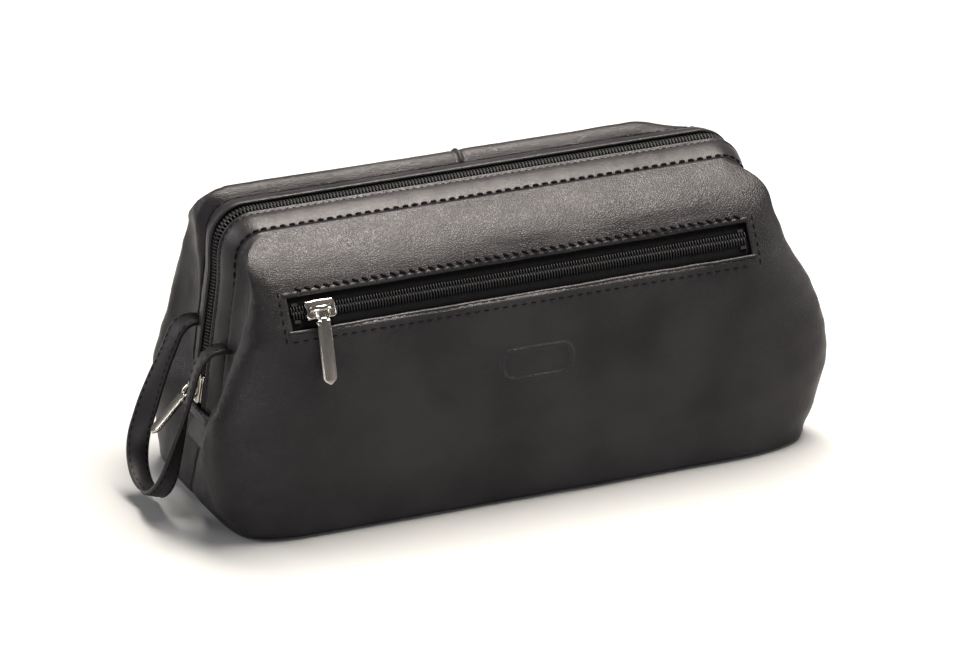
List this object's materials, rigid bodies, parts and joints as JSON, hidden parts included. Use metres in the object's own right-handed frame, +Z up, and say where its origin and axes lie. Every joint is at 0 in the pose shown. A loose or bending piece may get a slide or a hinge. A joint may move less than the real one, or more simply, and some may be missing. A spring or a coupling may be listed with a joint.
{
  "type": "framed shaving kit bag",
  "caption": "Black leather framed shaving kit bag with a curved top zip, swinging steel mouth frames, a zipped front pocket and a wrist strap at one end.",
  "frame": {"origin": "middle of the base's underside, on the surface the bag stands on", "axes": "+X along the bag away from the wrist strap, -Y to the side with the pocket, +Z up to the main zip"},
  "size_m": [0.2806, 0.1119, 0.1206],
  "materials": {
    "leather": "smooth, semi-gloss, fine grain",
    "strap_leather": "semi-gloss, painted edges",
    "board": "plain fibreboard",
    "lining": "plain woven, matte",
    "zip_tape": "twill tape",
    "zip_teeth": "satin nylon coil",
    "frame_steel": "zinc plated",
    "nickel": "polished dark nickel plate"
  },
  "bodies": {
    "bag_body": {"base_panel": "leather", "bottom_board": "board", "lining_tub": "lining", "front_lower_panel": "leather", "rear_lower_panel": "leather", "front_fold_panel": "leather", "rear_fold_panel": "leather", "zip_tail_left": "zip_teeth", "zip_tail_right": "zip_teeth", "hinge_rivet_left": "frame_steel", "hinge_rivet_right": "frame_steel"},
    "front_gate": {"front_frame": "frame_steel", "front_zip_band": "leather", "front_zip_tape": "zip_tape", "front_zip_coil": "zip_teeth", "front_frame_facing": "lining", "front_upper_panel": "leather", "front_upper_lining": "lining", "pocket_pouch": "lining", "pocket_tape_upper": "zip_tape", "pocket_tape_lower": "zip_tape", "pocket_coil": "zip_teeth", "pocket_stops": "nickel"},
    "rear_gate": {"rear_frame": "frame_steel", "rear_zip_band": "leather", "rear_zip_tape": "zip_tape", "rear_zip_coil": "zip_teeth", "rear_frame_facing": "lining", "rear_upper_panel": "leather", "rear_upper_lining": "lining"},
    "main_slider": {"main_slider_body": "nickel"},
    "main_pull": {"main_pull_tab": "nickel"},
    "pocket_slider": {"pocket_slider_body": "nickel"},
    "pocket_pull": {"pocket_pull_tab": "nickel"},
    "strap_loop": {"wrist_strap": "strap_leather"}
  },
  "joints": [
    {"name": "front_gate_swing", "type": "hinge", "parent": "bag_body", "child": "front_gate", "pos_m": [0, 0, 0.056], "axis": [1, 0, 0], "range_deg": [0, 30], "deforming": ["front_fold_panel"]},
    {"name": "rear_gate_swing", "type": "hinge", "parent": "bag_body", "child": "rear_gate", "pos_m": [0, 0, 0.056], "axis": [-1, 0, 0], "range_deg": [0, 30], "deforming": ["rear_fold_panel"]},
    {"name": "main_slider_travel", "type": "slide", "parent": "bag_body", "child": "main_slider", "axis": [0.1392, 0, 0.9903], "range_m": [0, 0.038]},
    {"name": "main_pull_swing", "type": "hinge", "parent": "main_slider", "child": "main_pull", "pos_m": [-0.1237, 0, 0.04846], "axis": [0, 1, 0], "range_deg": [0, 130]},
    {"name": "pocket_slider_travel", "type": "slide", "parent": "front_gate", "child": "pocket_slider", "axis": [1, 0, 0], "range_m": [0, 0.172]},
    {"name": "pocket_pull_swing", "type": "hinge", "parent": "pocket_slider", "child": "pocket_pull", "pos_m": [-0.086, -0.04851, 0.09609], "axis": [-1, 0, 0], "range_deg": [0, 150]},
    {"name": "wrist_strap_swing", "type": "hinge", "parent": "bag_body", "child": "strap_loop", "pos_m": [-0.11956, 0, 0.067], "axis": [0, 1, 0], "range_deg": [0, 75]}
  ]
}
